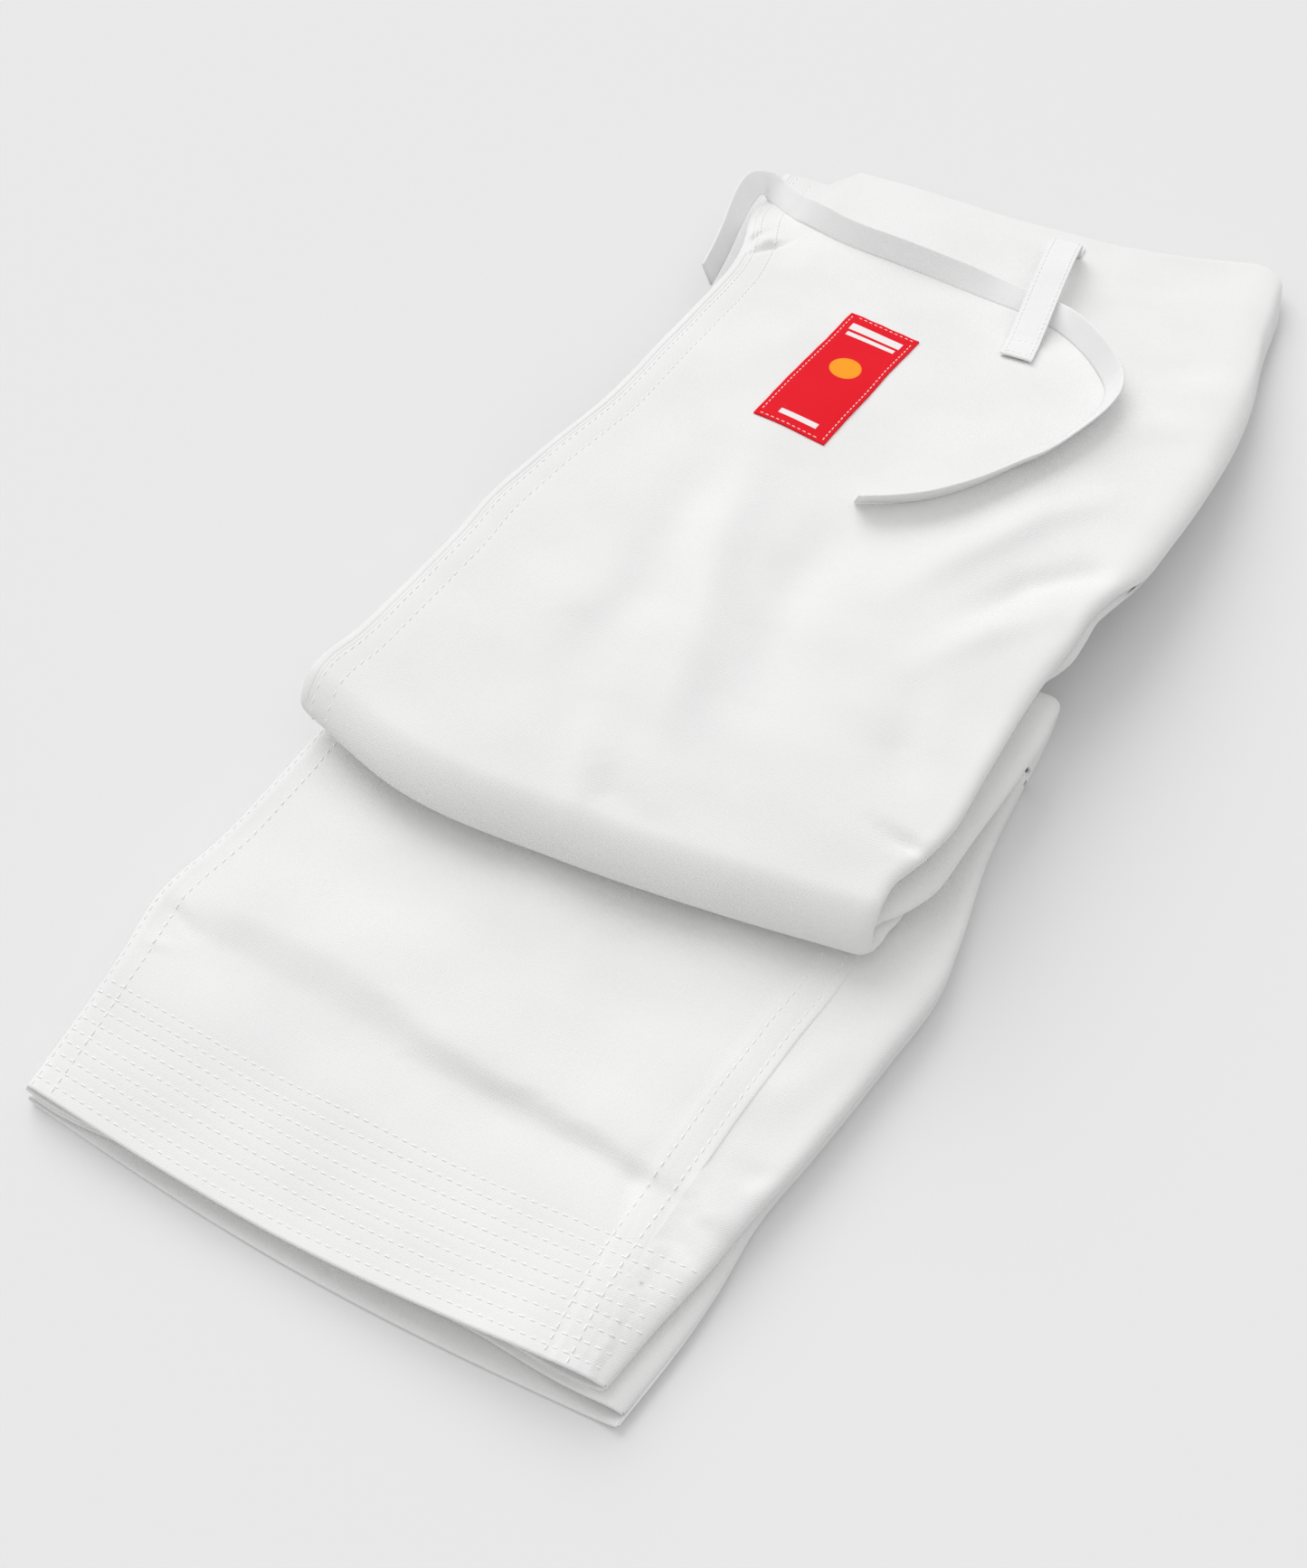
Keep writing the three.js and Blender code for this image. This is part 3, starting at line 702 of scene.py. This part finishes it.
def at(values, places):
    columns = [np.interp(places, np.arange(len(values)), values[:, k]) for k in range(values.shape[1])]
    return np.stack(columns, axis=-1)


# ---- sewing ----
def beadShape():
    # one stitch: a short round of thread, full in the middle
    bpy.ops.object.select_all(action="DESELECT")
    bpy.ops.mesh.primitive_uv_sphere_add(segments=6, ring_count=5, radius=1)
    sample = bpy.context.active_object
    points = np.array([vertex.co[:] for vertex in sample.data.vertices])
    faces = [list(polygon.vertices) for polygon in sample.data.polygons]
    bpy.data.objects.remove(sample)
    return points, faces


beadPoints, beadFaces = beadShape()


def sew(name, lines, length, radius, material, part):
    # each line: middles of its stitches, their heading and the lift off the cloth
    points, faces = [], []
    for middles, headings, lifts in lines:
        normals = lifts / (np.linalg.norm(lifts, axis=1, keepdims=True) + 1e-9)
        sides = np.cross(headings, normals)
        for k in range(len(middles)):
            start = len(points) * len(beadPoints)
            full = beadPoints[:, 2:3]
            blunt = np.sign(full) * np.abs(full) ** 0.8 * length / 2
            points.append(middles[k] + lifts[k] - normals[k] * 0.25 * full ** 4 + blunt * headings[k]
                          + beadPoints[:, 0:1] * radius * sides[k] + beadPoints[:, 1:2] * radius * normals[k])
            faces.extend([[start + corner for corner in face] for face in beadFaces])
    piece = newPiece(name, np.concatenate(points), faces, material)
    if part == "seatOnly":
        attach(piece, "seat")
    else:
        follow(piece, part)
    return piece


thread = {"pitch": 4.2, "length": 2.7, "radius": 0.30, "lift": 0.14}


def seamLines(part, edge, sign, rows):
    # rows of stitching that keep their distance from an edge of the leg
    start, end = splits[part]
    lines = []
    for n, row in enumerate(rows):
        along = np.arange(start + 1.4 + 1.3 * n, end - 1, thread["pitch"])
        x = curveThrough(edge, along) + sign * row
        middles, _, headings, normals = clothFrame("leftFront", x, along)
        lines.append((middles, headings, normals * thread["lift"]))
    return lines


def makeStitching(material):
    wobble = np.random.default_rng(3)
    for part in splits:
        rows = sideSeam["rows"] if part in ("FrontFold", "Seat") else sideSeam["lowerRows"]
        sew("sideSeamThread" + part, seamLines(part, leftEdge, 1, rows), thread["length"], thread["radius"],
            material, part)
        if part in ("Shin", "RearFold"):
            sew("inseamThread" + part, seamLines(part, inseamLine, -1, inseamRows), thread["length"],
                thread["radius"], material, part)
    lines = []
    for n in range(cloth["hemRows"]):
        place = cloth["hemFirst"] + n * cloth["hemPitch"]
        left, right = curveThrough(leftEdge, place), curveThrough(rightEdge, place)
        x = np.arange(left + 3 + wobble.uniform(0, thread["pitch"]), right - 3, thread["pitch"])
        along = place + 0.3 * np.sin(x / 21 + n)
        middles, headings, _, normals = clothFrame("leftFront", x, along)
        lines.append((middles, headings, normals * thread["lift"]))
    sew("hemThread", lines, thread["length"], thread["radius"], material, "Shin")


# ---- leg panels ----
def rowPlaces(end, flat):
    # close rows over the hem and round the folds, wider ones on the flat
    fine = [(0, 56, 1.1), (56, 235, flat), (235, shinEnd, 3.2), (shinEnd, kneeStart, 1.7),
            (kneeStart, kneeSplit, 5.0), (kneeSplit, kneeEnd, 5.0), (kneeEnd, topStart, 1.2),
            (topStart, seatSplit, 2.2), (seatSplit, clothEnd, flat)]
    places = []
    for low, high, step in fine:
        places.extend(np.linspace(low, high, int(round((high - low) / step)), endpoint=False))
    return np.array(places + [end])


def makePanels(materials):
    replaced = {"Shin": "_shin", "RearFold": "_knee", "FrontFold": "_thigh", "Seat": "_seat"}
    for name, layer in layers.items():
        shown = name == "leftFront"
        along = rowPlaces(clothEnd, 2.0 if shown else 4.0)
        points = layerPoint(name, columnShares(along, 90 if shown else 34), along[:, None])
        normals = gridNormals(points, layer["up"])
        uv = clothUv(points)
        for part, (start, end) in splits.items():
            rows = (along >= start - 0.01) & (along <= end + 0.01)
            piece = twoFaced(name + part, points[rows], cloth["thick"], layer["up"], materials[part],
                             normals[rows], uv[rows])
            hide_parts(cadName(name) + replaced[part])
            follow(piece, part)
    for leg in ("left", "right"):
        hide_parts(leg + "_rear_fold")
        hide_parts(leg + "_front_fold")


def cadName(name):
    return name.replace("Front", "_front").replace("Back", "_back")


# ---- turned hems and the waistband's casing ----
hemFacing = {"radius": 0.95, "depth": 50, "thick": 0.45, "rows": 14, "inset": 0.001}
waistFacing = {"radius": 1.3, "depth": 38, "thick": 0.45, "rows": 12, "inset": 0.03}


def makeFacing(name, facing, atHem, material):
    # the cloth turned in over the end and sewn down inside
    layer = layers[name]
    turn = np.linspace(0, np.pi, 9)
    flat = np.linspace(0, facing["depth"], facing["rows"])[1:]
    inward = np.concatenate([facing["radius"] * (1 - np.cos(turn)), 2 * facing["radius"] + 0 * flat])
    fromEnd = np.concatenate([0 * turn, flat])
    reach = np.concatenate([facing["radius"] * np.sin(turn), 0 * flat])
    end, sign = (0.0, 1) if atHem else (clothEnd, -1)
    shares = columnShares(np.array([end]))[0]
    shares = shares[(shares > facing["inset"]) & (shares < 1 - facing["inset"])]
    points = layerPoint(name, shares[None, :], (end + sign * fromEnd)[:, None], inward[:, None])
    points[..., 1] -= sign * reach[:, None]
    faceUp = layer["up"] != atHem
    pieceName = name + ("HemFacing" if atHem else "Waistband")
    piece = twoFaced(pieceName, points, facing["thick"], faceUp, material)
    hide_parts(cadName(name) + ("_hem" if atHem else "_waistband"))
    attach(piece, "shin" if atHem else "seat")


casingStrips = {
    "leftElastic": {"layer": "leftBack", "from": 34, "to": 17, "inward": 1.15, "node": "left_elastic"},
    "rightElastic": {"layer": "rightFront", "from": 34, "to": 17, "inward": 1.15, "node": "right_elastic"},
    "casingTape": {"layer": "leftFront", "from": 16, "to": 4, "inward": 1.15, "node": "drawstring_in_casing"},
}
stripThick = 0.8


def makeCasingStrip(name, strip, material):
    # elastic or tape lying between the panel and the turned-in casing
    shares = np.linspace(0.08, 0.92, 60)
    fromEnd = np.linspace(strip["from"], strip["to"], 7)
    points = layerPoint(strip["layer"], shares[None, :], (clothEnd - fromEnd)[:, None], strip["inward"])
    piece = twoFaced(name, points, stripThick, layers[strip["layer"]]["up"], material)
    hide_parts(strip["node"])
    "tape" if "Tape" in name else "elastic"
    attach(piece, "seat")


# ---- crotch gusset ----
gusset = {"from": 362, "to": 412, "low": 4.6, "high": 12.4, "depth": 16, "thick": 0.9}


def makeGusset(material):
    # a small sail of cloth between the two legs, drawn in between them
    y = np.linspace(gusset["from"], gusset["to"], 26)
    share = np.linspace(0, 1, 13)
    along = topStart + y - frontCrease
    edge = curveThrough(rightEdge, along) - 3.5
    fullness = np.sin(np.pi * np.clip((y - gusset["from"]) / (gusset["to"] - gusset["from"]), 0, 1)) ** 0.5
    x = edge[:, None] - gusset["depth"] * fullness[:, None] * np.sin(np.pi * share)[None, :]
    tall = (gusset["high"] - gusset["low"]) * (0.25 + 0.75 * fullness)
    z = (gusset["low"] + gusset["high"]) / 2 + tall[:, None] * (share - 0.5)[None, :]
    middle = clothFrame("leftFront", edge, along)[0][:, 2] - garment["pile"]
    points = np.stack([x, np.broadcast_to(y[:, None], x.shape), z + middle[:, None]], axis=-1)
    piece = twoFaced("crotchGusset", points, gusset["thick"], True, material)
    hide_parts("crotch_gusset")
    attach(piece, "seat")


# ---- label ----
label = {
    "x": garment["labelX"], "fromWaist": 194, "width": 36, "length": 90, "turn": -0.095,
    "thick": 0.7, "lift": 0.15,
    "margin": 1.9, "stitch": 1.9, "stitchPitch": 2.7,
}
labelLook = {"red": (0.82, 0.012, 0.028), "white": (0.90, 0.86, 0.86), "orange": (1.0, 0.36, 0.02),
             "bars": [(0, 35.5, 13.2, 2.4), (0, 30.0, 12.4, 1.3), (0.5, -37.0, 9.5, 1.7)],
             "disc": (0, 6.5, 7.4)}


def labelSpot(across, up):
    # a place on the label, from its middle, laid on the cloth
    turn = label["turn"]
    middle = seatPlace(np.array(float(label["x"])), np.array(float(label["fromWaist"])), np.array(0.0))
    x = middle[0] + across * math.cos(turn) - up * math.sin(turn)
    y = middle[1] + across * math.sin(turn) + up * math.cos(turn)
    return clothFrame("leftFront", x, onSeat(x, y))


def makeLabel(material, threadMaterial):
    bpy.ops.object.select_all(action="DESELECT")
    bpy.ops.mesh.primitive_grid_add(x_subdivisions=24, y_subdivisions=60, size=1)
    piece = bpy.context.active_object
    piece.name = piece.data.name = "labelPatch"
    flat = np.array([vertex.co[:2] for vertex in piece.data.vertices]) * [label["width"], label["length"]]
    edge = np.minimum(label["width"] / 2 - np.abs(flat[:, 0]), label["length"] / 2 - np.abs(flat[:, 1]))
    points, _, _, normals = labelSpot(flat[:, 0], flat[:, 1])
    drawn = np.exp(-(edge / 1.2) ** 2) * 0.08 * np.sin(flat[:, 1] / 2.1 + flat[:, 0] / 1.7)
    groove = 0.25 * np.exp(-((edge - label["margin"]) / 0.7) ** 2)
    points = points + normals * (label["lift"] + label["thick"] - groove + drawn)[:, None]
    for vertex, point in zip(piece.data.vertices, toRow(points)):
        vertex.co = point
    layer = piece.data.uv_layers[0]
    layer.name = "cloth"
    for corner in piece.data.loops:
        layer.data[corner.index].uv = flat[corner.vertex_index]
    piece.data.shade_smooth()
    piece.data.materials.append(material)
    applyModifier(piece, "SOLIDIFY", thickness=label["thick"] / 1000, offset=-1.0)
    applyModifier(piece, "BEVEL", width=0.0002, segments=2, limit_method="ANGLE")
    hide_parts("label_patch")
    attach(piece, "seat")
    w, h = label["width"] / 2 - label["margin"], label["length"] / 2 - label["margin"]
    lines = []
    for a, b in (((-w, -h), (w, -h)), ((w, -h), (w, h)), ((w, h), (-w, h)), ((-w, h), (-w, -h))):
        length = math.dist(a, b)
        t = (np.arange(int(length / label["stitchPitch"])) + 0.5) * label["stitchPitch"] / length
        across, up = a[0] + (b[0] - a[0]) * t, a[1] + (b[1] - a[1]) * t
        middles, over, run, normals = labelSpot(across, up)
        turn = label["turn"]
        headX = (b[0] - a[0]) / length
        headY = (b[1] - a[1]) / length
        headings = over * (headX * math.cos(turn) - headY * math.sin(turn)) \
            + run * (headX * math.sin(turn) + headY * math.cos(turn))
        lines.append((middles, headings, normals * (label["lift"] + label["thick"] - 0.12)))
    sew("labelThread", lines, label["stitch"], 0.25, threadMaterial, "seatOnly")


def maskBox(make, u, v, place):
    x, y, halfWidth, halfHeight = place
    inside = []
    for value, centre, half in ((u, x, halfWidth), (v, y, halfHeight)):
        away = make("ShaderNodeMath", {0: value, 1: centre}, operation="SUBTRACT")
        size = make("ShaderNodeMath", {0: away.outputs[0]}, operation="ABSOLUTE")
        inside.append(make("ShaderNodeMapRange", {0: size.outputs[0], 1: half - 0.12, 2: half + 0.12, 3: 1.0,
                                                  4: 0.0}))
    return make("ShaderNodeMath", {0: inside[0].outputs[0], 1: inside[1].outputs[0]}, operation="MULTIPLY")


def labelMaterial():
    # woven label: red ground, plain white bars and an orange disc
    material = plainMaterial("wovenLabel", labelLook["red"], 0.7)
    make, tree = nodeMaker(material)
    shader = tree.nodes["Principled BSDF"]
    shader.inputs["Specular IOR Level"].default_value = 0.12
    uv = make("ShaderNodeUVMap", uv_map="cloth")
    split = make("ShaderNodeSeparateXYZ", {0: uv.outputs[0]})
    u, v = split.outputs["X"], split.outputs["Y"]
    masks = [maskBox(make, u, v, bar).outputs[0] for bar in labelLook["bars"]]
    white = masks[0]
    for mask in masks[1:]:
        white = make("ShaderNodeMath", {0: white, 1: mask}, operation="MAXIMUM").outputs[0]
    x, y, radius = labelLook["disc"]
    centre = make("ShaderNodeCombineXYZ", {0: x, 1: y})
    away = make("ShaderNodeVectorMath", {0: uv.outputs[0], 1: centre.outputs[0]}, operation="DISTANCE")
    disc = make("ShaderNodeMapRange", {0: away.outputs["Value"], 1: radius - 0.15, 2: radius + 0.15, 3: 1.0,
                                       4: 0.0})
    threads = make("ShaderNodeTexNoise", {"Vector": uv.outputs[0], "Scale": 1.6, "Detail": 2.0})
    ground = make("ShaderNodeMix", {0: threads.outputs["Fac"], 6: (0.72, 0.006, 0.016, 1),
                                    7: (0.90, 0.010, 0.024, 1)}, data_type="RGBA")
    withWhite = make("ShaderNodeMix", {0: white, 6: ground.outputs[2], 7: (*labelLook["white"], 1)},
                     data_type="RGBA")
    withDisc = make("ShaderNodeMix", {0: disc.outputs[0], 6: withWhite.outputs[2],
                                      7: (*labelLook["orange"], 1)}, data_type="RGBA")
    tree.links.new(withDisc.outputs[2], shader.inputs["Base Color"])
    ribs = make("ShaderNodeTexWave", {"Vector": uv.outputs[0], "Scale": 0.55, "Distortion": 0.6},
                bands_direction="Y")
    bump = make("ShaderNodeBump", {"Height": ribs.outputs["Fac"], "Strength": 0.35, "Distance": 0.0002})
    tree.links.new(bump.outputs[0], shader.inputs["Normal"])
    return material


# ---- drawstring loop ----
loop = {
    "x": 187.7, "fromWaist": 86, "turn": 0.09, "width": 15, "length": 104,
    "thick": 1.3, "rise": 12.5, "foot": 14,
    "farFoot": 8, "peak": 0.46, "fullness": 0.8, "edgeRow": 1.7, "stitchPitch": 3.2,
}


def loopSpot(across, up, height):
    turn = loop["turn"]
    middle = seatPlace(np.array(float(loop["x"])), np.array(float(loop["fromWaist"])), np.array(0.0))
    x = middle[0] + across * math.cos(turn) - up * math.sin(turn)
    y = middle[1] + across * math.sin(turn) + up * math.cos(turn)
    ground = clothFrame("leftFront", x, onSeat(x, y))[0]
    return ground + np.stack([0 * height, 0 * height, height], axis=-1)


def loopProfile():
    # from the waist end over the arch to the foot, which is folded back under itself
    half = loop["length"] / 2
    arch = np.linspace(0, 1, 34)
    lift = loop["thick"] + 0.2
    span = 2 * half - loop["farFoot"] - loop["foot"]
    ups = [np.linspace(half, half - loop["farFoot"], 6)[:-1], half - loop["farFoot"] - span * arch ** 1.5,
           np.linspace(-half + loop["foot"], -half, 8)[1:]]
    bulge = np.sin(np.pi * arch ** (1.5 * loop["peak"])) ** loop["fullness"]
    heights = [lift + 0 * ups[0], lift + loop["rise"] * bulge + 1.2 * arch, lift + 1.2 + 0 * ups[2]]
    turn = np.linspace(0, np.pi, 7)[1:]
    under = loop["thick"] * 0.62
    ups.append(-half - under * np.sin(turn))
    heights.append(lift + 1.2 - under * (1 - np.cos(turn)))
    ups.append(np.linspace(-half, -half + loop["foot"], 8)[1:])
    heights.append(heights[-1][-1] + 0 * ups[-1])
    return np.concatenate(ups), np.concatenate(heights)


def makeLoop(material, threadMaterial):
    up, height = loopProfile()
    columns = 11
    bpy.ops.object.select_all(action="DESELECT")
    bpy.ops.mesh.primitive_grid_add(x_subdivisions=columns - 1, y_subdivisions=len(up) - 1, size=1)
    piece = bpy.context.active_object
    piece.name = piece.data.name = "drawstringLoop"
    flat = np.array([vertex.co[:2] for vertex in piece.data.vertices])
    across = flat[:, 0] * loop["width"]
    row = np.rint((0.5 - flat[:, 1]) * (len(up) - 1)).astype(int)
    pinch = 0.22 * np.exp(-((loop["width"] / 2 - np.abs(across) - loop["edgeRow"]) / 0.6) ** 2)
    points = loopSpot(across, up[row], height[row] - pinch)
    for vertex, point in zip(piece.data.vertices, toRow(points)):
        vertex.co = point
    run = np.concatenate([[0], np.cumsum(np.hypot(np.diff(up), np.diff(height)))])
    layer = piece.data.uv_layers[0]
    layer.name = "cloth"
    for corner in piece.data.loops:
        layer.data[corner.index].uv = (across[corner.vertex_index], run[row[corner.vertex_index]])
    piece.data.shade_smooth()
    piece.data.materials.append(material)
    applyModifier(piece, "SOLIDIFY", thickness=loop["thick"] / 1000, offset=-1.0)
    applyModifier(piece, "BEVEL", width=0.0004, segments=2, limit_method="ANGLE")
    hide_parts("drawstring_loop")
    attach(piece, "seat")
    lines = []
    side = loop["width"] / 2 - loop["edgeRow"]
    top = int(np.argmin(np.abs(up + loop["length"] / 2)))
    places = np.interp(np.arange(2, run[top] - 1, loop["stitchPitch"]), run, np.arange(len(run)))
    centre = np.stack([up, height], axis=-1)
    ahead, behind = at(centre, places + 0.2), at(centre, places - 0.2)
    for x in (-side, side):
        middles = loopSpot(x + 0 * places, *at(centre, places).T)
        headings = loopSpot(x + 0 * places, *ahead.T) - loopSpot(x + 0 * places, *behind.T)
        headings = headings / np.linalg.norm(headings, axis=1, keepdims=True)
        over = np.array([math.cos(loop["turn"]), math.sin(loop["turn"]), 0.0])
        lines.append((middles, headings, np.cross(headings, over) * -0.06 + 0 * middles))
    for y in (-loop["length"] / 2 + 2.2, -loop["length"] / 2 + loop["foot"] - 1.0, loop["length"] / 2 - 2.0):
        x = np.arange(-side + 1.2, side, 2.8)
        level = np.interp(-y, -up[:top + 1], height[:top + 1])
        middles = loopSpot(x, y + 0 * x, level + 0 * x)
        headings = np.broadcast_to([math.cos(loop["turn"]), math.sin(loop["turn"]), 0.0], middles.shape)
        lines.append((middles, headings, np.broadcast_to([0, 0, 0.06], middles.shape)))
    sew("loopThread", lines, 2.1, 0.26, threadMaterial, "seatOnly")


# ---- everything in its order ----
makeStudio()
print("studio ready")
canvas = wovenMaterial("bleachedCanvas", canvasLook)
tapeCloth = wovenMaterial("tapeCotton", {**canvasLook, "threadPitch": 0.42, "light": (0.92, 0.92, 0.92)})
elasticWeb = wovenMaterial("elasticWeb", {**canvasLook, "threadPitch": 1.1, "light": (0.8, 0.8, 0.8)})
# sewing thread: its own white, set brighter than the canvas as a painted highlight so the stitches show as
# bright dots
threadWithPaintedHighlight = plainMaterial("sewingThreadPaintedHighlight", (0.95, 0.95, 0.95), 0.55)
makeDrawstring(tapeCloth, threadWithPaintedHighlight)
print("drawstring ready")
makePanels({"Shin": canvas, "RearFold": canvas, "FrontFold": canvas, "Seat": canvas})
print("panels ready")
for name in layers:
    makeFacing(name, hemFacing, True, canvas)
    makeFacing(name, waistFacing, False, canvas)
for name, strip in casingStrips.items():
    makeCasingStrip(name, strip, tapeCloth if "Tape" in name else elasticWeb)
makeGusset(canvas)
print("hems, casing and gusset ready")
makeStitching(threadWithPaintedHighlight)
print("stitching ready")
makeLabel(labelMaterial(), threadWithPaintedHighlight)
makeLoop(tapeCloth, threadWithPaintedHighlight)
print("label and loop ready")
